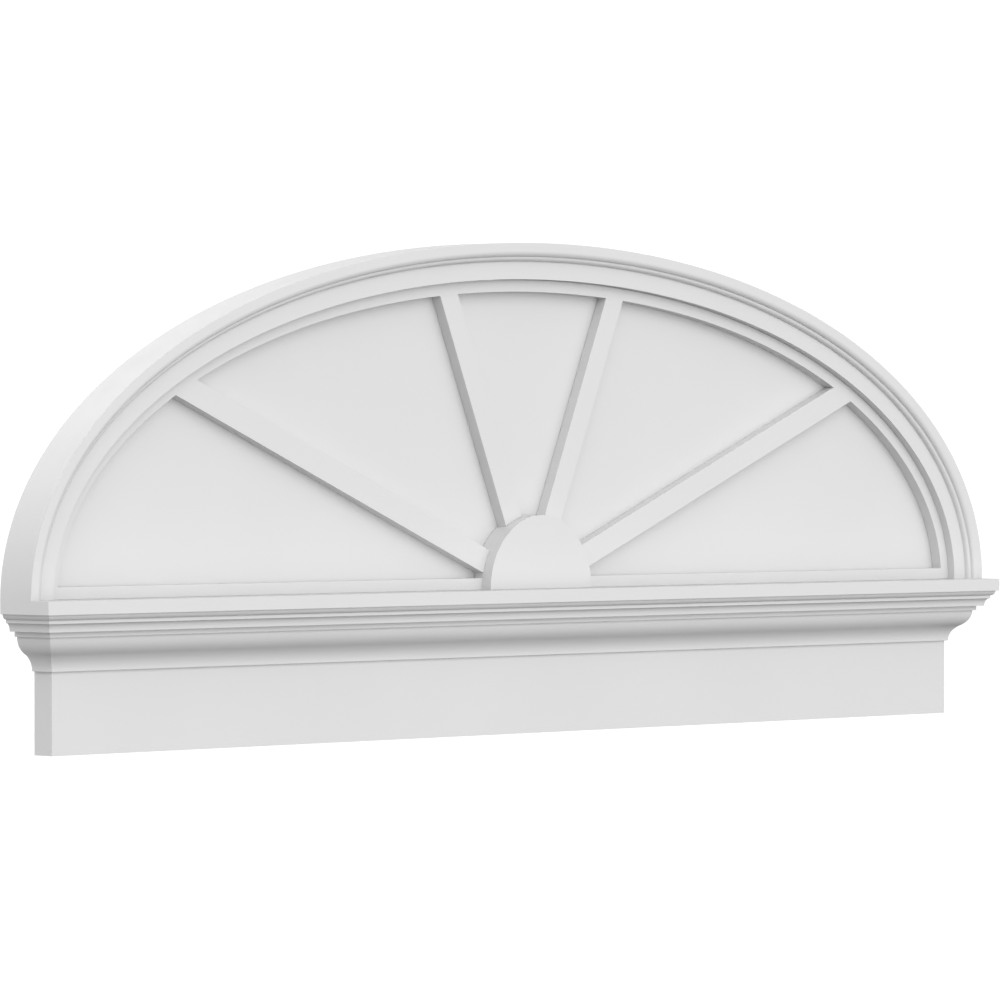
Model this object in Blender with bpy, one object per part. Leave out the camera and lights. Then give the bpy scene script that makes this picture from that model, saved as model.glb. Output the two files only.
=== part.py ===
"""Elliptical pediment: a moulded half-ellipse arch over a crown moulding and a frieze board.

All sizes are in metres, +Z is up and the front faces -Y. The wall is the plane y = 0, and the origin
is the middle of the wall face, at half the whole height and half the width.
"""
import math

import bmesh
import bpy
from mathutils import Euler, Matrix, Vector

# Overall
WIDTH = 1.524
ARCH_RISE = 0.3812
HAUNCH_SWELL = 0.0047  # how far the haunches bulge past a true ellipse, as a share of their radius
FIT_GAP = 0.0003

# Frieze board
BOARD_THICKNESS = 0.0265
FRIEZE_REVEAL = 0.0861

# Crown moulding, from its top down: heights of the members, then how far each one steps back
TOP_FILLET_HEIGHT = 0.0141
OVOLO_HEIGHT = 0.0056
COVE_FILLET_HEIGHT = 0.0036
COVE_HEIGHT = 0.0088
MIDDLE_FILLET_HEIGHT = 0.0054
BASE_FILLET_HEIGHT = 0.0003
TOP_FILLET_STEP = 0.0031
OVOLO_DEPTH = 0.0045
COVE_FILLET_STEP = 0.0006
COVE_DEPTH = 0.0046
SOFFIT_DEPTH = 0.0067
MIDDLE_FILLET_STEP = 0.0033
OGEE_DEPTH = 0.0206
BASE_FILLET_STEP = 0.0031
OGEE_SWEEP = math.radians(60)  # each of the ogee's two arcs turns by this much

# Arch moulding, from its outer edge inwards
ARCH_DEPTH = 0.0468
RIM_WIDTH = 0.0090
OUTER_ROUND_WIDTH = 0.0061
OUTER_ROUND_DROP = 0.0048
QUIRK_WIDTH = 0.0011
INNER_ROUND_WIDTH = 0.0040
INNER_ROUND_DROP = 0.0052
INNER_FACE_WIDTH = 0.0198

# Panel, tracery and hub
PANEL_THICKNESS = 0.0139
TRACERY_THICKNESS = 0.0132
RING_WIDTH = 0.0130
RAIL_HEIGHT = 0.0127
SPOKE_COUNT = 4
SPOKE_WIDTH = 0.0266
HUB_RADIUS = 0.0813
HUB_THICKNESS = 0.0263

# Facets
ARCH_SEGMENTS = 72
HUB_SEGMENTS = 48
ROUND_SEGMENTS = 4
OGEE_ARC_SEGMENTS = 6
OVERSHOOT = 0.01  # how far a cutter runs past the faces that it cuts

# Derived sizes
OGEE_RADIUS = OGEE_DEPTH / (2 * (1 - math.cos(OGEE_SWEEP)))
OGEE_HEIGHT = 2 * OGEE_RADIUS * math.sin(OGEE_SWEEP)
CROWN_HEIGHT = (TOP_FILLET_HEIGHT + OVOLO_HEIGHT + COVE_FILLET_HEIGHT + COVE_HEIGHT
                + MIDDLE_FILLET_HEIGHT + OGEE_HEIGHT + BASE_FILLET_HEIGHT)
CROWN_PROJECTION = (TOP_FILLET_STEP + OVOLO_DEPTH + COVE_FILLET_STEP + COVE_DEPTH + SOFFIT_DEPTH
                    + MIDDLE_FILLET_STEP + OGEE_DEPTH + BASE_FILLET_STEP)
ARCH_WIDTH = (RIM_WIDTH + OUTER_ROUND_WIDTH + QUIRK_WIDTH + INNER_ROUND_WIDTH + INNER_FACE_WIDTH)
BOARD_HEIGHT = CROWN_HEIGHT + FRIEZE_REVEAL
TOTAL_HEIGHT = BOARD_HEIGHT + FIT_GAP + ARCH_RISE
HALF_WIDTH = WIDTH / 2
HALF_BOARD = HALF_WIDTH - CROWN_PROJECTION
BOARD_TOP = BOARD_HEIGHT - TOTAL_HEIGHT / 2
SPRINGING = BOARD_TOP + FIT_GAP  # the level on which the arch, the panel and the hub stand
PANEL_INSET = ARCH_WIDTH + FIT_GAP
BAY_INSET = PANEL_INSET + RING_WIDTH
TRACERY_BACK = PANEL_THICKNESS + FIT_GAP
UPRIGHT = Euler((math.radians(90), 0, 0))  # stands a flat drawing up, facing -Y


def new_collection(name):
    """A collection of that name in the scene."""
    collection = bpy.data.collections.new(name)
    bpy.context.scene.collection.children.link(collection)
    return collection


def white_finish(name, value, roughness):
    """A Principled material in a plain white."""
    material = bpy.data.materials.new(name)
    material.use_nodes = True
    shader = material.node_tree.nodes["Principled BSDF"]
    shader.inputs["Base Color"].default_value = (value, value, value, 1)
    shader.inputs["Roughness"].default_value = roughness
    shader.inputs["Metallic"].default_value = 0
    return material


def arch_point(angle, inset):
    """The point of the arch at that angle of its ellipse, set in square to the curve by inset."""
    swell = 1 + HAUNCH_SWELL * math.sin(2 * angle) ** 2
    swell_rate = 2 * HAUNCH_SWELL * math.sin(4 * angle)
    across = HALF_WIDTH * math.cos(angle)
    above = ARCH_RISE * math.sin(angle)
    across_rate = -HALF_WIDTH * math.sin(angle) * swell + across * swell_rate
    above_rate = ARCH_RISE * math.cos(angle) * swell + above * swell_rate
    speed = math.hypot(across_rate, above_rate)
    return (across * swell - inset * above_rate / speed, above * swell + inset * across_rate / speed)


def half_ellipse(inset):
    """The closed outline inside the arch at that inset, with a flat foot on the springing line."""
    angles = [math.pi * step / ARCH_SEGMENTS for step in range(ARCH_SEGMENTS + 1)]
    return [arch_point(angle, inset) for angle in angles]


def arc(centre, size, start, end, segments):
    """Points on an elliptical arc about centre; size is its reach across and up, angles in radians."""
    angles = [start + (end - start) * step / segments for step in range(segments + 1)]
    return [(centre[0] + size[0] * math.cos(a), centre[1] + size[1] * math.sin(a)) for a in angles]


def drawing(name, points, closed):
    """A flat curve through the points."""
    curve = bpy.data.curves.new(name, "CURVE")
    curve.dimensions = "2D"
    spline = curve.splines.new("POLY")
    spline.points.add(len(points) - 1)
    for spot, (across, up) in zip(spline.points, points):
        spot.co = (across, up, 0, 1)
    spline.use_cyclic_u = closed
    return curve


def mesh_object(name, curve, collection):
    """The curve's solid as a mesh object in the collection, with its caps welded on."""
    source = bpy.data.objects.new(name + "_drawing", curve)
    collection.objects.link(source)
    bpy.context.view_layer.update()
    evaluated = source.evaluated_get(bpy.context.evaluated_depsgraph_get())
    mesh = bpy.data.meshes.new_from_object(evaluated)
    bpy.data.objects.remove(source)
    mesh.name = name
    welded = bmesh.new()
    welded.from_mesh(mesh)
    bmesh.ops.remove_doubles(welded, verts=welded.verts, dist=0.000001)
    bmesh.ops.recalc_face_normals(welded, faces=welded.faces)
    welded.to_mesh(mesh)
    welded.free()
    piece = bpy.data.objects.new(name, mesh)
    collection.objects.link(piece)
    return piece


def slab(name, outline, back, front, collection):
    """An upright plate of that outline, its faces at those two distances from the wall."""
    curve = drawing(name, outline, True)
    curve.fill_mode = "BOTH"
    curve.extrude = (front - back) / 2
    plate = mesh_object(name, curve, collection)
    plate.rotation_euler = UPRIGHT
    plate.location = (0, -(front + back) / 2, SPRINGING)
    return plate


def as_cutter(piece):
    """Keep a helper solid out of the model."""
    piece.hide_render = True
    piece.display_type = "WIRE"
    return piece


def cut(piece, cutter):
    """Take the cutter's shape out of the piece."""
    boolean = piece.modifiers.new("cut_" + cutter.name, "BOOLEAN")
    boolean.operation = "DIFFERENCE"
    boolean.solver = "EXACT"
    boolean.object = cutter


def bar(name, low, high, turn, collection):
    """A square bar in the plane of the arch, turned about the middle of the springing line."""
    form = bmesh.new()
    bmesh.ops.create_cube(form, size=1)
    middle = (Vector(low) + Vector(high)) / 2
    size = Vector(high) - Vector(low)
    bmesh.ops.transform(form, matrix=Matrix.Translation(middle) @ Matrix.Diagonal((*size, 1)), verts=form.verts)
    mesh = bpy.data.meshes.new(name)
    form.to_mesh(mesh)
    form.free()
    piece = bpy.data.objects.new(name, mesh)
    collection.objects.link(piece)
    piece.rotation_euler = (0, -turn, 0)
    piece.location = (0, 0, SPRINGING)
    return piece


def build_panel(parts):
    """The flat half-ellipse panel, inside the arch."""
    return slab("back_panel", half_ellipse(PANEL_INSET), 0, PANEL_THICKNESS, parts)


def arch_section():
    """The arch's section: first number inwards from the outer edge, second out from the wall."""
    section = [(0, 0), (0, ARCH_DEPTH)]
    inset, depth = RIM_WIDTH, ARCH_DEPTH
    for width, drop in ((OUTER_ROUND_WIDTH, OUTER_ROUND_DROP), (INNER_ROUND_WIDTH, INNER_ROUND_DROP)):
        centre = (inset, depth - drop)
        section += arc(centre, (width, drop), math.pi / 2, 0, ROUND_SEGMENTS)
        inset += width + QUIRK_WIDTH
        depth -= drop
    section += [(ARCH_WIDTH, depth), (ARCH_WIDTH, 0)]
    return section


def build_arch(parts):
    """The arch moulding: its section, swept round the half-ellipse from foot to foot."""
    section = bpy.data.objects.new("arch_section", drawing("arch_section", arch_section(), True))
    parts.objects.link(section)
    path = half_ellipse(0)[::-1]
    # An upright start, longer than the next section's lean, keeps the feet square and flat.
    lead = ARCH_WIDTH * math.tan(math.pi / ARCH_SEGMENTS)
    path.insert(1, (path[0][0], lead))
    path.insert(-1, (path[-1][0], lead))
    curve = drawing("arch_moulding", path, False)
    curve.fill_mode = "NONE"
    curve.bevel_mode = "OBJECT"
    curve.bevel_object = section
    curve.use_fill_caps = True
    arch = mesh_object("arch_moulding", curve, parts)
    bpy.data.objects.remove(section)
    arch.rotation_euler = UPRIGHT
    arch.location = (0, 0, SPRINGING)
    return arch


def build_tracery(parts, cutters):
    """Ring, spokes and rail in one sheet: a plate with the bays between the bars cut through."""
    front = TRACERY_BACK + TRACERY_THICKNESS
    sheet = slab("sunburst_tracery", half_ellipse(PANEL_INSET), TRACERY_BACK, front, parts)
    cut_back = TRACERY_BACK - OVERSHOOT
    cut_front = front + OVERSHOOT
    bays = as_cutter(slab("bay_cutter", half_ellipse(BAY_INSET), cut_back, cut_front, cutters))
    bar_back = OVERSHOOT - cut_back
    bar_front = -cut_front - OVERSHOOT
    half_spoke = SPOKE_WIDTH / 2
    for index in range(SPOKE_COUNT):
        turn = math.pi * (index + 0.5) / SPOKE_COUNT
        spoke = bar(f"spoke_{index + 1}", (0, bar_front, -half_spoke), (HALF_WIDTH, bar_back, half_spoke), turn, cutters)
        cut(bays, as_cutter(spoke))
    rail = bar("rail", (-HALF_WIDTH, bar_front, -OVERSHOOT), (HALF_WIDTH, bar_back, RAIL_HEIGHT), 0, cutters)
    cut(bays, as_cutter(rail))
    cut(sheet, bays)
    seat_radius = HUB_RADIUS + FIT_GAP
    seat_outline = arc((0, 0), (seat_radius, seat_radius), 0, 2 * math.pi, 2 * HUB_SEGMENTS)[:-1]
    cut(sheet, as_cutter(slab("hub_seat", seat_outline, cut_back, cut_front, cutters)))
    return sheet


def build_hub(parts):
    """The half-round boss in front of the panel."""
    outline = arc((0, 0), (HUB_RADIUS, HUB_RADIUS), 0, math.pi, HUB_SEGMENTS)
    return slab("hub", outline, TRACERY_BACK, TRACERY_BACK + HUB_THICKNESS, parts)


def build_frieze(parts):
    """The frieze board, which runs up behind the crown moulding and carries the panel."""
    low = (-HALF_BOARD, -BOARD_THICKNESS, -FIT_GAP - BOARD_HEIGHT)
    return bar("frieze_board", low, (HALF_BOARD, 0, -FIT_GAP), 0, parts)


def crown_section():
    """The crown's section: first number out from the frieze face, second up from the crown's top."""
    section = [(FIT_GAP, 0), (CROWN_PROJECTION, 0)]
    out = CROWN_PROJECTION
    up = -TOP_FILLET_HEIGHT
    section.append((out, up))
    out -= TOP_FILLET_STEP + OVOLO_DEPTH
    section += arc((out, up), (OVOLO_DEPTH, OVOLO_HEIGHT), 0, -math.pi / 2, ROUND_SEGMENTS)
    up -= OVOLO_HEIGHT + COVE_FILLET_HEIGHT
    section.append((out, up))
    out -= COVE_FILLET_STEP
    up -= COVE_HEIGHT
    section += arc((out, up), (COVE_DEPTH, COVE_HEIGHT), math.pi / 2, math.pi, ROUND_SEGMENTS)
    out -= COVE_DEPTH + SOFFIT_DEPTH
    section.append((out, up))
    up -= MIDDLE_FILLET_HEIGHT
    section.append((out, up))
    out -= MIDDLE_FILLET_STEP
    radius = (OGEE_RADIUS, OGEE_RADIUS)
    section += arc((out - OGEE_RADIUS, up), radius, 0, -OGEE_SWEEP, OGEE_ARC_SEGMENTS)
    out -= OGEE_DEPTH
    up -= OGEE_HEIGHT
    section += arc((out + OGEE_RADIUS, up), radius, math.pi - OGEE_SWEEP, math.pi, OGEE_ARC_SEGMENTS)[1:]
    up -= BASE_FILLET_HEIGHT
    section += [(out, up), (FIT_GAP, up)]
    return section


def trim(piece, point, normal):
    """Cut the piece flat at that point, keep what lies behind the normal and close the cut."""
    piece.data.transform(piece.matrix_basis)
    piece.matrix_basis = Matrix.Identity(4)
    form = bmesh.new()
    form.from_mesh(piece.data)
    everything = form.verts[:] + form.edges[:] + form.faces[:]
    cut_line = bmesh.ops.bisect_plane(form, geom=everything, dist=0.000001, plane_co=point, plane_no=normal,
                                      clear_outer=True)["geom_cut"]
    edges = [item for item in cut_line if isinstance(item, bmesh.types.BMEdge)]
    bmesh.ops.edgeloop_fill(form, edges=edges)
    bmesh.ops.recalc_face_normals(form, faces=form.faces)
    form.to_mesh(piece.data)
    form.free()


def crown_length(name, length, turn, place, parts):
    """A straight length of crown moulding; turn swings its face round from +X about the vertical."""
    curve = drawing(name, crown_section(), True)
    curve.fill_mode = "BOTH"
    curve.extrude = length / 2
    piece = mesh_object(name, curve, parts)
    stand = Matrix.Rotation(turn, 4, "Z") @ Matrix.Rotation(math.radians(90), 4, "X")
    piece.matrix_basis = Matrix.Translation((*place, BOARD_TOP)) @ stand
    return piece


def build_crown(parts):
    """The crown's front length and its two returns, mitred where they meet."""
    depth = BOARD_THICKNESS + CROWN_PROJECTION
    front = crown_length("crown_front", WIDTH, math.radians(-90), (0, -BOARD_THICKNESS), parts)
    pieces = [front]
    for side, name in ((-1, "crown_return_left"), (1, "crown_return_right")):
        corner = Vector((side * HALF_WIDTH, -depth, 0))
        towards_return = Vector((side, 1, 0)).normalized()
        trim(front, corner - towards_return * FIT_GAP / 2, towards_return)
        turn = 0 if side > 0 else math.radians(180)
        piece = crown_length(name, depth, turn, (side * HALF_BOARD, -depth / 2), parts)
        trim(piece, corner + towards_return * FIT_GAP / 2, -towards_return)
        pieces.append(piece)
    return pieces


def shade(piece):
    """Smooth the rounds and keep the arrises sharp."""
    piece.data.shade_smooth()
    piece.data.set_sharp_from_angle(angle=math.radians(25))


def build_pediment():
    """All the pieces, each with its own white."""
    for leftover in list(bpy.data.objects):
        bpy.data.objects.remove(leftover)
    parts = new_collection("elliptical_pediment")
    cutters = new_collection("cutters")
    boards = [build_panel(parts), build_frieze(parts)]
    carved = [build_tracery(parts, cutters), build_hub(parts)]
    mouldings = [build_arch(parts), *build_crown(parts)]
    for pieces, value, roughness in ((boards, 0.84, 0.5), (carved, 0.86, 0.45), (mouldings, 0.87, 0.4)):
        for piece in pieces:
            shade(piece)
            piece.data.materials.append(white_finish(piece.name + "_white", value, roughness))


build_pediment()
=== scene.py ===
"""The elliptical pediment dressed for its picture: fine surfaces, white paint, camera and soft light."""
import math

import bmesh
import bpy
from mathutils import Euler, Matrix, Vector


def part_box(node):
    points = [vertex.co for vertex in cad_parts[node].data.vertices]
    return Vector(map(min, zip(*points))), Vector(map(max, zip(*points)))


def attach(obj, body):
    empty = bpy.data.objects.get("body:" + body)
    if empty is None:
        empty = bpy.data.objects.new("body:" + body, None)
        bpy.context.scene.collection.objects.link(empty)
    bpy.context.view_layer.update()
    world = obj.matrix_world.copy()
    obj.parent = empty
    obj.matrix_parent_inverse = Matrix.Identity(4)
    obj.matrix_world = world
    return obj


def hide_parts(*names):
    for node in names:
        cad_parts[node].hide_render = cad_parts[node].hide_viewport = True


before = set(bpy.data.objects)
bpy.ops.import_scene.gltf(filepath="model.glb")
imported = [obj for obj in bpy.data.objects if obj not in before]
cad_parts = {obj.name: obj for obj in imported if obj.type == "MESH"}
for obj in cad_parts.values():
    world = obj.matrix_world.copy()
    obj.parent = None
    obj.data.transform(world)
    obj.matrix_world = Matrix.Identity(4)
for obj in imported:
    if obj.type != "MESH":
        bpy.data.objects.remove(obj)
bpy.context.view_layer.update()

# Places read from the frame, in metres
arch_low, arch_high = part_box("arch_moulding")
panel_low, panel_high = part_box("back_panel")
sheet_low, sheet_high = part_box("sunburst_tracery")
hub_low, hub_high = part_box("hub")
board_low, board_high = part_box("frieze_board")
crown_low, crown_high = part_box("crown_front")

HALF_WIDTH = arch_high.x
ARCH_RISE = arch_high.z - arch_low.z
ARCH_DEPTH = -arch_low.y
HALF_BOARD = board_high.x
BOARD_TOP = board_high.z
BOARD_THICKNESS = -board_low.y
CROWN_PROJECTION = HALF_WIDTH - HALF_BOARD
SPRINGING = arch_low.z
PANEL_INSET = HALF_WIDTH - panel_high.x
HUB_RADIUS = hub_high.x

# How the visible pieces meet and how fine they are
FIT_GAP = 0.0003  # the joint between two of the plain solids
SEAM = 0.0001  # the finer joint that shows between two dressed pieces
MITRE_RELIEF = SEAM / 4  # how far each side of a mitre stands back from the joint's middle
PLATE_INSET = PANEL_INSET - (FIT_GAP - SEAM)
ARRIS = 0.0003  # the radius of a soft edge on the arch, the sunburst and the hub
CROWN_ARRIS = ARRIS / 2
BOARD_ARRIS = 0.0003
ARRIS_SEGMENTS = 4
ARCH_SEGMENTS = 360
HUB_SEGMENTS = 160
ROUND_SEGMENTS = 14
OGEE_ARC_SEGMENTS = 22
SEAT_SEGMENTS = 12
MEETING_HALVINGS = 60
SHARP_TURN = math.radians(35)
SHORTEST_SIDE = 1e-7
WELD_DISTANCE = 0.000001
CUT_TOLERANCE = 0.0000001

# The shape of the half-ellipse, and the crown's members from its top down
HAUNCH_SWELL = 0.0047
TOP_FILLET_HEIGHT = 0.0141
OVOLO_HEIGHT = 0.0056
COVE_FILLET_HEIGHT = 0.0036
COVE_HEIGHT = 0.0088
MIDDLE_FILLET_HEIGHT = 0.0054
BASE_FILLET_HEIGHT = 0.0003
TOP_FILLET_STEP = 0.0031
OVOLO_DEPTH = 0.0045
COVE_FILLET_STEP = 0.0006
COVE_DEPTH = 0.0046
SOFFIT_DEPTH = 0.0067
MIDDLE_FILLET_STEP = 0.0033
OGEE_DEPTH = 0.0206
OGEE_SWEEP = math.radians(60)
OGEE_RADIUS = OGEE_DEPTH / (2 * (1 - math.cos(OGEE_SWEEP)))
OGEE_HEIGHT = 2 * OGEE_RADIUS * math.sin(OGEE_SWEEP)

# The arch's members from its outer edge inwards
RIM_WIDTH = 0.0090
OUTER_ROUND_WIDTH = 0.0061
OUTER_ROUND_DROP = 0.0048
QUIRK_WIDTH = 0.0011
INNER_ROUND_WIDTH = 0.0040
INNER_ROUND_DROP = 0.0052
ARCH_WIDTH = PANEL_INSET - FIT_GAP

# The sunburst
RING_WIDTH = 0.0130
RAIL_HEIGHT = 0.0127
SPOKE_COUNT = 4
SPOKE_WIDTH = 0.0266

# The camera, fitted to the outline and the inner edges that the photograph shows
LENS_MM = 218.26
SENSOR_MM = 36
CAMERA_PLACE = (-4.8796, -4.6266, SPRINGING + 0.1512)
CAMERA_TURN = math.radians(46.382)
CAMERA_DIP = math.radians(0.457)
CAMERA_REACH = 200

# The light: each lamp's way as right, back and up, and its strength
LAMP_BEHIND = ((0, 1, 0), 2.16)
LAMP_BEHIND_ABOVE = ((0, 1, 1), 1.54)
LAMP_BEHIND_LEFT = ((-1, 1, 0), 0.78)
LAMP_FRONT = ((0, -1, 0), 1.86)
LAMP_FRONT_RIGHT = ((1, -1, 0), 0.30)
LAMP_FRONT_LEFT_ABOVE = ((-1, -1, 1), 2.01)
LAMP_FRONT_RIGHT_ABOVE = ((1, -1, 1), 0.90)
LAMP_GATHERING = 4  # the power that gathers every lamp about its way
BACKDROP_LEVEL = 1.1
FLOOR_DROP = 2.2  # the floor lies a door's height below the frieze
FLOOR_SIZE = 60

# The paint: its tone, how far its faint clouds fall below and rise above that, and how rough each surface is
PAINT_TONE = 0.58
CLOUD_DARKER = 0.008
CLOUD_DARKER_BLUE = 0.009
CLOUD_LIGHTER = 0.006
SHEEN_SPREAD = 0.05
BOARD_ROUGHNESS = 0.50
TRACERY_ROUGHNESS = 0.45
MOULDING_ROUGHNESS = 0.42

UPRIGHT = Euler((math.radians(90), 0, 0))


def arch_point(angle, inset):
    """The point of the arch at that angle of its ellipse, set in square to the curve by inset."""
    swell = 1 + HAUNCH_SWELL * math.sin(2 * angle) ** 2
    swell_rate = 2 * HAUNCH_SWELL * math.sin(4 * angle)
    across = HALF_WIDTH * math.cos(angle)
    above = ARCH_RISE * math.sin(angle)
    across_rate = -HALF_WIDTH * math.sin(angle) * swell + across * swell_rate
    above_rate = ARCH_RISE * math.cos(angle) * swell + above * swell_rate
    speed = math.hypot(across_rate, above_rate)
    return (across * swell - inset * above_rate / speed, above * swell + inset * across_rate / speed)


def arch_run(inset, start=0.0, end=math.pi):
    """Points along the arch at that inset, between two angles of its ellipse."""
    steps = max(2, round(ARCH_SEGMENTS * abs(end - start) / math.pi))
    return [arch_point(start + (end - start) * step / steps, inset) for step in range(steps + 1)]


def arc(centre, size, start, end, segments):
    """Points on an elliptical arc about centre; size is its reach across and up, angles in radians."""
    angles = [start + (end - start) * step / segments for step in range(segments + 1)]
    return [(centre[0] + size[0] * math.cos(a), centre[1] + size[1] * math.sin(a)) for a in angles]


def soften(points, radius, keep_sharp=()):
    """The closed outline with each sharp corner rounded, except those whose number is kept sharp."""
    soft = []
    count = len(points)
    for index, point in enumerate(points):
        here = Vector(point)
        before = Vector(points[index - 1]) - here
        after = Vector(points[(index + 1) % count]) - here
        if before.length < SHORTEST_SIDE or after.length < SHORTEST_SIDE:
            continue
        inside = before.angle(after)
        if math.pi - inside < SHARP_TURN or index in keep_sharp:
            soft.append(point)
            continue
        reach = min(radius / math.tan(inside / 2), 0.45 * before.length, 0.45 * after.length)
        true_radius = reach * math.tan(inside / 2)
        inwards = (before.normalized() + after.normalized()).normalized()
        middle = here + inwards * (true_radius / math.sin(inside / 2))
        first = (here + before.normalized() * reach - middle).normalized()
        last = (here + after.normalized() * reach - middle).normalized()
        for step in range(ARRIS_SEGMENTS + 1):
            spoke = first.slerp(last, step / ARRIS_SEGMENTS) * true_radius
            soft.append(tuple(middle + spoke))
    return soft


def drawing(name, points, closed):
    """A flat curve through the points."""
    curve = bpy.data.curves.new(name, "CURVE")
    curve.dimensions = "2D"
    spline = curve.splines.new("POLY")
    spline.points.add(len(points) - 1)
    for spot, (across, up) in zip(spline.points, points):
        spot.co = (across, up, 0, 1)
    spline.use_cyclic_u = closed
    return curve


def mesh_piece(name, curve):
    """The curve's solid as a mesh object, with its caps welded on."""
    source = bpy.data.objects.new(name + "_drawing", curve)
    bpy.context.scene.collection.objects.link(source)
    bpy.context.view_layer.update()
    evaluated = source.evaluated_get(bpy.context.evaluated_depsgraph_get())
    mesh = bpy.data.meshes.new_from_object(evaluated)
    bpy.data.objects.remove(source)
    mesh.name = name
    welded = bmesh.new()
    welded.from_mesh(mesh)
    bmesh.ops.remove_doubles(welded, verts=welded.verts, dist=WELD_DISTANCE)
    bmesh.ops.recalc_face_normals(welded, faces=welded.faces)
    welded.to_mesh(mesh)
    welded.free()
    piece = bpy.data.objects.new(name, mesh)
    bpy.context.scene.collection.objects.link(piece)
    return piece


def settle(piece):
    """Write the piece's place into its mesh, so that the object itself sits at the origin."""
    piece.data.transform(piece.matrix_basis)
    piece.matrix_basis = Matrix.Identity(4)
    return piece


def slab(name, outline, back, front, arris):
    """An upright plate with softened arrises, its faces at those two distances from the wall."""
    curve = drawing(name, outline, True)
    curve.fill_mode = "BOTH"
    curve.bevel_depth = arris
    curve.bevel_resolution = 2
    curve.offset = -arris
    curve.extrude = (front - back) / 2 - arris
    plate = mesh_piece(name, curve)
    plate.rotation_euler = UPRIGHT
    plate.location = (0, -(front + back) / 2, BOARD_TOP + SEAM)
    bpy.context.view_layer.update()
    return settle(plate)


def cut_flat(piece, point, normal):
    """Cut the piece flat at that point, keep what lies behind the normal and close the cut."""
    form = bmesh.new()
    form.from_mesh(piece.data)
    everything = form.verts[:] + form.edges[:] + form.faces[:]
    cut_line = bmesh.ops.bisect_plane(form, geom=everything, dist=CUT_TOLERANCE, plane_co=point,
                                      plane_no=normal, clear_outer=True)["geom_cut"]
    edges = [item for item in cut_line if isinstance(item, bmesh.types.BMEdge)]
    bmesh.ops.edgeloop_fill(form, edges=edges)
    bmesh.ops.recalc_face_normals(form, faces=form.faces)
    form.to_mesh(piece.data)
    form.free()


def smooth(piece):
    """Smooth shading that keeps the flat faces flat."""
    piece.data.shade_smooth()
    piece.data.set_sharp_from_angle(angle=SHARP_TURN)
    weighted = piece.modifiers.new("even_shading", "WEIGHTED_NORMAL")
    weighted.keep_sharp = True
    weighted.weight = 100


def build_panel():
    """The flat panel behind the sunburst."""
    outline = arch_run(PLATE_INSET)
    return slab("flat_panel", outline, 0, -panel_low.y, BOARD_ARRIS)


def build_frieze():
    """The plain board below the arch, which runs up behind the crown."""
    top = BOARD_TOP - board_low.z
    outline = [(-HALF_BOARD, 0), (HALF_BOARD, 0), (HALF_BOARD, top), (-HALF_BOARD, top)]
    board = slab("plain_frieze", outline, 0, BOARD_THICKNESS, BOARD_ARRIS)
    board.data.transform(Matrix.Translation((0, 0, board_low.z - BOARD_TOP - SEAM)))
    return board


def arch_section():
    """The arch's section: first number inwards from the outer edge, second out from the wall."""
    section = [(0, 0), (0, ARCH_DEPTH)]
    inset, depth = RIM_WIDTH, ARCH_DEPTH
    for width, drop in ((OUTER_ROUND_WIDTH, OUTER_ROUND_DROP), (INNER_ROUND_WIDTH, INNER_ROUND_DROP)):
        section += arc((inset, depth - drop), (width, drop), math.pi / 2, 0, ROUND_SEGMENTS)
        inset += width + QUIRK_WIDTH
        depth -= drop
    section += [(ARCH_WIDTH, depth), (ARCH_WIDTH, 0)]
    return soften(section, ARRIS, keep_sharp=(0, len(section) - 1))


def build_arch():
    """The arch moulding, its section swept round the half-ellipse."""
    section = bpy.data.objects.new("arch_section", drawing("arch_section", arch_section(), True))
    bpy.context.scene.collection.objects.link(section)
    path = arch_run(0)[::-1]
    lead = ARCH_WIDTH * math.tan(math.pi / ARCH_SEGMENTS)
    path.insert(1, (path[0][0], lead))
    path.insert(-1, (path[-1][0], lead))
    foot = BOARD_TOP - SPRINGING
    path[0] = (path[0][0], foot)
    path[-1] = (path[-1][0], foot)
    curve = drawing("moulded_arch", path, False)
    curve.fill_mode = "NONE"
    curve.bevel_mode = "OBJECT"
    curve.bevel_object = section
    curve.use_fill_caps = True
    arch = mesh_piece("moulded_arch", curve)
    bpy.data.objects.remove(section)
    arch.rotation_euler = UPRIGHT
    arch.location = (0, 0, SPRINGING)
    bpy.context.view_layer.update()
    return settle(arch)


def ring_meeting(turn, offset):
    """The angle of the ellipse at which a line beside a spoke's middle line meets the ring's inner edge."""
    low, high = 0.0, math.pi
    for _ in range(MEETING_HALVINGS):
        middle = (low + high) / 2
        across, above = arch_point(middle, PANEL_INSET + RING_WIDTH)
        side = above * math.cos(turn) - across * math.sin(turn)
        if side < offset:
            low = middle
        else:
            high = middle
    return low


def hub_meeting(turn, offset, radius):
    """The angle about the hub's middle at which that same line leaves the hub."""
    return turn + math.asin(offset / radius)


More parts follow.
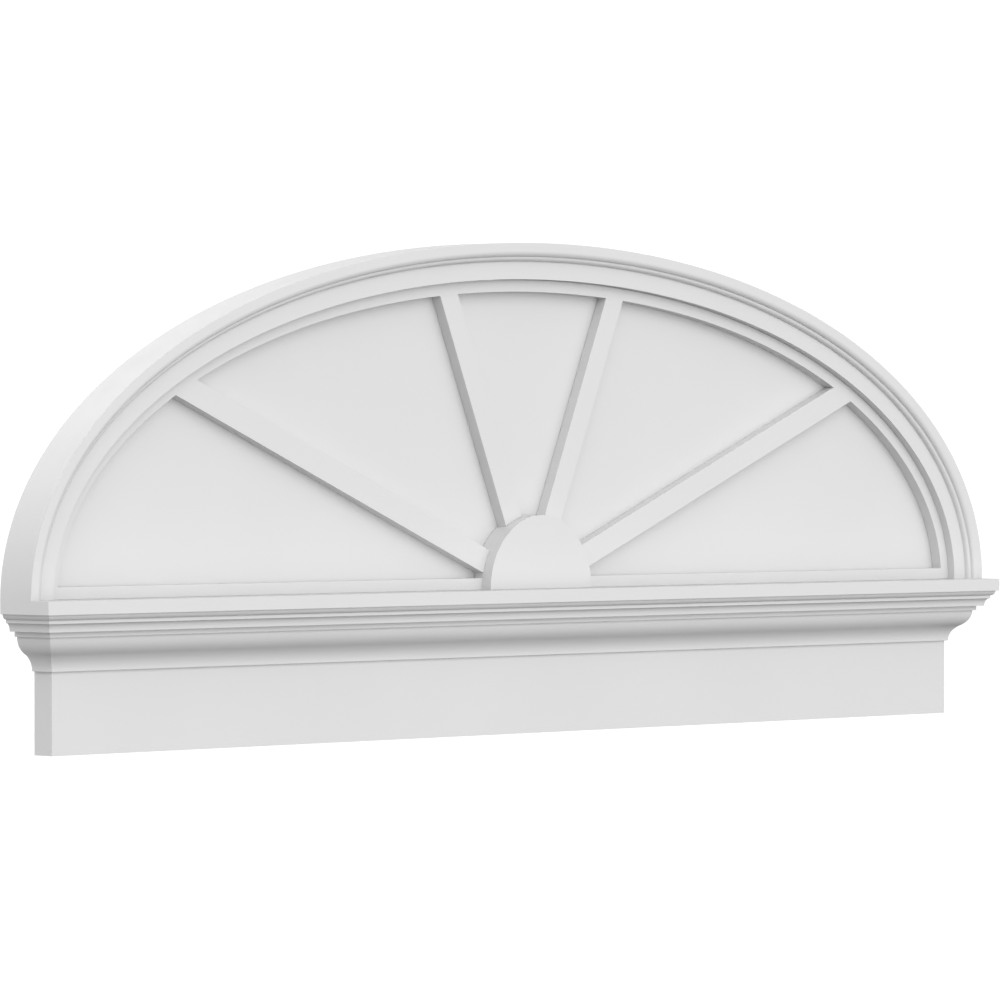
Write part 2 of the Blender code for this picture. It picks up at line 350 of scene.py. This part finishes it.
def tracery_outline():
    """Ring, spokes and rail in one closed line: round the outside, then in and out of each bay."""
    seat = HUB_RADIUS + SEAM
    half_spoke = SPOKE_WIDTH / 2
    turns = [math.pi * (index + 0.5) / SPOKE_COUNT for index in range(SPOKE_COUNT)]
    lower = [(0, RAIL_HEIGHT)] + [(turn, half_spoke) for turn in turns]
    upper = [(turn, -half_spoke) for turn in turns] + [(math.pi, -RAIL_HEIGHT)]
    outline = arch_run(PLATE_INSET)
    bays = []
    for (turn_a, offset_a), (turn_b, offset_b) in zip(lower, upper):
        ring_a = ring_meeting(turn_a, offset_a)
        ring_b = ring_meeting(turn_b, offset_b)
        hub_a = hub_meeting(turn_a, offset_a, seat)
        hub_b = hub_meeting(turn_b, offset_b, seat)
        bay = [(seat * math.cos(hub_b), seat * math.sin(hub_b))]
        bay += arch_run(PANEL_INSET + RING_WIDTH, ring_b, ring_a)
        bay.append((seat * math.cos(hub_a), seat * math.sin(hub_a)))
        bays.append((bay, hub_a, hub_b))
    outline.append((-seat, 0))
    previous = math.pi
    for bay, hub_a, hub_b in reversed(bays):
        outline += arc((0, 0), (seat, seat), previous, hub_b, SEAT_SEGMENTS)[1:-1]
        outline += bay
        previous = hub_a
    outline += arc((0, 0), (seat, seat), previous, 0, SEAT_SEGMENTS)[1:]
    return outline


def build_tracery():
    """The sunburst: ring, spokes and rail cut from one sheet."""
    return slab("sunburst", tracery_outline(), -sheet_high.y, -sheet_low.y, ARRIS)


def build_hub():
    """The half-round boss in front of the panel."""
    outline = arc((0, 0), (HUB_RADIUS, HUB_RADIUS), 0, math.pi, HUB_SEGMENTS)
    return slab("half_round_hub", outline, -hub_high.y, -hub_low.y, ARRIS)


def crown_section():
    """The crown's section: first number out from the frieze face, second up from the crown's top."""
    out, up = CROWN_PROJECTION, -TOP_FILLET_HEIGHT
    section = [(SEAM, 0), (out, 0), (out, up)]
    out -= TOP_FILLET_STEP + OVOLO_DEPTH
    section += arc((out, up), (OVOLO_DEPTH, OVOLO_HEIGHT), 0, -math.pi / 2, ROUND_SEGMENTS)
    up -= OVOLO_HEIGHT + COVE_FILLET_HEIGHT
    section.append((out, up))
    out -= COVE_FILLET_STEP
    up -= COVE_HEIGHT
    section += arc((out, up), (COVE_DEPTH, COVE_HEIGHT), math.pi / 2, math.pi, ROUND_SEGMENTS)
    out -= COVE_DEPTH + SOFFIT_DEPTH
    section.append((out, up))
    up -= MIDDLE_FILLET_HEIGHT
    section.append((out, up))
    out -= MIDDLE_FILLET_STEP
    radius = (OGEE_RADIUS, OGEE_RADIUS)
    section += arc((out - OGEE_RADIUS, up), radius, 0, -OGEE_SWEEP, OGEE_ARC_SEGMENTS)
    out -= OGEE_DEPTH
    up -= OGEE_HEIGHT
    section += arc((out + OGEE_RADIUS, up), radius, math.pi - OGEE_SWEEP, math.pi, OGEE_ARC_SEGMENTS)[1:]
    up -= BASE_FILLET_HEIGHT
    section += [(out, up), (SEAM, up)]
    return soften(section, CROWN_ARRIS, keep_sharp=(0, 1, len(section) - 1))


def crown_length(name, length, turn, place):
    """A straight length of crown moulding; turn swings its face round from +X about the vertical."""
    curve = drawing(name, crown_section(), True)
    curve.fill_mode = "BOTH"
    curve.extrude = length / 2
    piece = mesh_piece(name, curve)
    stand = Matrix.Rotation(turn, 4, "Z") @ Matrix.Rotation(math.radians(90), 4, "X")
    piece.matrix_basis = Matrix.Translation((*place, BOARD_TOP)) @ stand
    return settle(piece)


def build_crown():
    """The crown's front length and its two returns, mitred where they meet."""
    depth = BOARD_THICKNESS + CROWN_PROJECTION
    front = crown_length("crown_run_front", 2 * HALF_WIDTH, math.radians(-90), (0, -BOARD_THICKNESS))
    pieces = [front]
    for side, name in ((-1, "crown_run_left"), (1, "crown_run_right")):
        corner = Vector((side * HALF_WIDTH, -depth, 0))
        towards_return = Vector((side, 1, 0)).normalized()
        cut_flat(front, corner - towards_return * MITRE_RELIEF, towards_return)
        turn = 0 if side > 0 else math.radians(180)
        piece = crown_length(name, depth, turn, (side * HALF_BOARD, -depth / 2))
        cut_flat(piece, corner + towards_return * MITRE_RELIEF, -towards_return)
        pieces.append(piece)
    return pieces


def node(tree, kind, **values):
    """A shader node with its plain inputs set by name."""
    made = tree.nodes.new(kind)
    for name, value in values.items():
        made.inputs[name.replace("_", " ")].default_value = value
    return made


def painted_white(name, roughness):
    """White paint on cellular board: a faint cloudiness, a fine sprayed grain and an uneven sheen."""
    material = bpy.data.materials.new(name)
    material.use_nodes = True
    tree = material.node_tree
    shader = tree.nodes["Principled BSDF"]
    shader.inputs["IOR"].default_value = 1.46
    place = tree.nodes.new("ShaderNodeTexCoord")

    cloud = node(tree, "ShaderNodeTexNoise", Scale=4.0, Detail=3.0, Roughness=0.5)
    tint = tree.nodes.new("ShaderNodeValToRGB")
    tint.color_ramp.elements[0].position = 0.3
    darker = PAINT_TONE - CLOUD_DARKER
    tint.color_ramp.elements[0].color = (darker, darker, PAINT_TONE - CLOUD_DARKER_BLUE, 1)
    tint.color_ramp.elements[1].position = 0.7
    lighter = PAINT_TONE + CLOUD_LIGHTER
    tint.color_ramp.elements[1].color = (lighter, lighter, lighter, 1)
    tree.links.new(place.outputs["Object"], cloud.inputs["Vector"])
    tree.links.new(cloud.outputs["Fac"], tint.inputs["Fac"])
    tree.links.new(tint.outputs["Color"], shader.inputs["Base Color"])

    sheen = node(tree, "ShaderNodeTexNoise", Scale=30.0, Detail=2.0)
    spread = node(tree, "ShaderNodeMapRange", From_Min=0.3, From_Max=0.7, To_Min=roughness - SHEEN_SPREAD,
                  To_Max=roughness + SHEEN_SPREAD)
    tree.links.new(place.outputs["Object"], sheen.inputs["Vector"])
    tree.links.new(sheen.outputs["Fac"], spread.inputs["Value"])
    tree.links.new(spread.outputs["Result"], shader.inputs["Roughness"])

    grain = node(tree, "ShaderNodeTexNoise", Scale=700.0, Detail=2.0, Roughness=0.6)
    bump = node(tree, "ShaderNodeBump", Strength=0.12, Distance=0.0002)
    tree.links.new(place.outputs["Object"], grain.inputs["Vector"])
    tree.links.new(grain.outputs["Fac"], bump.inputs["Height"])
    tree.links.new(bump.outputs["Normal"], shader.inputs["Normal"])
    return material


def make_sky():
    """Soft lamps in an otherwise dark sky; the camera itself sees plain white."""
    world = bpy.data.worlds.new("soft_studio")
    bpy.context.scene.world = world
    world.use_nodes = True
    tree = world.node_tree
    tree.nodes.clear()
    direction = tree.nodes.new("ShaderNodeTexCoord")
    light = node(tree, "ShaderNodeBackground", Strength=0.0)
    so_far = None
    for way, strength in (LAMP_BEHIND, LAMP_BEHIND_ABOVE, LAMP_BEHIND_LEFT, LAMP_FRONT,
                          LAMP_FRONT_RIGHT, LAMP_FRONT_LEFT_ABOVE, LAMP_FRONT_RIGHT_ABOVE):
        towards = tree.nodes.new("ShaderNodeVectorMath")
        towards.operation = "DOT_PRODUCT"
        towards.inputs[1].default_value = Vector(way).normalized()
        half = tree.nodes.new("ShaderNodeMath")
        half.operation = "MAXIMUM"
        half.inputs[1].default_value = 0
        fade = tree.nodes.new("ShaderNodeMath")
        fade.operation = "POWER"
        fade.inputs[1].default_value = LAMP_GATHERING
        total = tree.nodes.new("ShaderNodeMath")
        total.operation = "MULTIPLY_ADD"
        total.inputs[1].default_value = strength
        total.inputs[2].default_value = 0
        tree.links.new(direction.outputs["Generated"], towards.inputs[0])
        tree.links.new(towards.outputs["Value"], half.inputs[0])
        tree.links.new(half.outputs["Value"], fade.inputs[0])
        tree.links.new(fade.outputs["Value"], total.inputs[0])
        if so_far is not None:
            tree.links.new(so_far.outputs["Value"], total.inputs[2])
        so_far = total
    white = node(tree, "ShaderNodeBackground", Strength=BACKDROP_LEVEL)
    light.inputs["Color"].default_value = (1, 1, 1, 1)
    white.inputs["Color"].default_value = (1, 1, 1, 1)
    path = tree.nodes.new("ShaderNodeLightPath")
    mix = tree.nodes.new("ShaderNodeMixShader")
    output = tree.nodes.new("ShaderNodeOutputWorld")
    tree.links.new(so_far.outputs["Value"], light.inputs["Strength"])
    tree.links.new(path.outputs["Is Camera Ray"], mix.inputs["Fac"])
    tree.links.new(light.outputs["Background"], mix.inputs[1])
    tree.links.new(white.outputs["Background"], mix.inputs[2])
    tree.links.new(mix.outputs["Shader"], output.inputs["Surface"])


def make_floor():
    """A plain white floor, seen from above only."""
    mesh = bpy.data.meshes.new("floor")
    form = bmesh.new()
    bmesh.ops.create_grid(form, x_segments=1, y_segments=1, size=FLOOR_SIZE / 2)
    form.to_mesh(mesh)
    form.free()
    floor = bpy.data.objects.new("floor", mesh)
    floor.location = (0, 0, board_low.z - FLOOR_DROP)
    bpy.context.scene.collection.objects.link(floor)
    material = bpy.data.materials.new("floor_white")
    material.use_nodes = True
    tree = material.node_tree
    tree.nodes.clear()
    glow = node(tree, "ShaderNodeEmission", Strength=BACKDROP_LEVEL)
    clear = tree.nodes.new("ShaderNodeBsdfTransparent")
    facing = tree.nodes.new("ShaderNodeNewGeometry")
    mix = tree.nodes.new("ShaderNodeMixShader")
    output = tree.nodes.new("ShaderNodeOutputMaterial")
    tree.links.new(facing.outputs["Backfacing"], mix.inputs["Fac"])
    tree.links.new(glow.outputs["Emission"], mix.inputs[1])
    tree.links.new(clear.outputs["BSDF"], mix.inputs[2])
    tree.links.new(mix.outputs["Shader"], output.inputs["Surface"])
    mesh.materials.append(material)
    floor.visible_diffuse = False
    floor.visible_glossy = False
    floor.visible_shadow = False


def make_camera():
    """The photograph's viewpoint: from the front left, almost level, through a long lens."""
    data = bpy.data.cameras.new("camera")
    data.lens = LENS_MM
    data.sensor_width = SENSOR_MM
    data.clip_end = CAMERA_REACH
    camera = bpy.data.objects.new("camera", data)
    camera.location = CAMERA_PLACE
    camera.rotation_euler = (math.radians(90) - CAMERA_DIP, 0, -CAMERA_TURN)
    bpy.context.scene.collection.objects.link(camera)
    bpy.context.scene.camera = camera


def dress(piece, material, node_name):
    """Finish a piece and put it in the place of its plain solid."""
    smooth(piece)
    piece.data.materials.clear()
    piece.data.materials.append(material)
    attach(piece, "root")
    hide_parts(node_name)


board_paint = painted_white("board_paint", BOARD_ROUGHNESS)
tracery_paint = painted_white("tracery_paint", TRACERY_ROUGHNESS)
moulding_paint = painted_white("moulding_paint", MOULDING_ROUGHNESS)

dress(build_panel(), board_paint, "back_panel")
dress(build_frieze(), board_paint, "frieze_board")
dress(build_tracery(), tracery_paint, "sunburst_tracery")
dress(build_hub(), tracery_paint, "hub")
dress(build_arch(), moulding_paint, "arch_moulding")
crown_nodes = ("crown_front", "crown_return_left", "crown_return_right")
for crown_piece, crown_node in zip(build_crown(), crown_nodes):
    dress(crown_piece, moulding_paint, crown_node)

make_sky()
make_floor()
make_camera()
bpy.context.scene.view_settings.view_transform = "Standard"

bpy.context.view_layer.update()
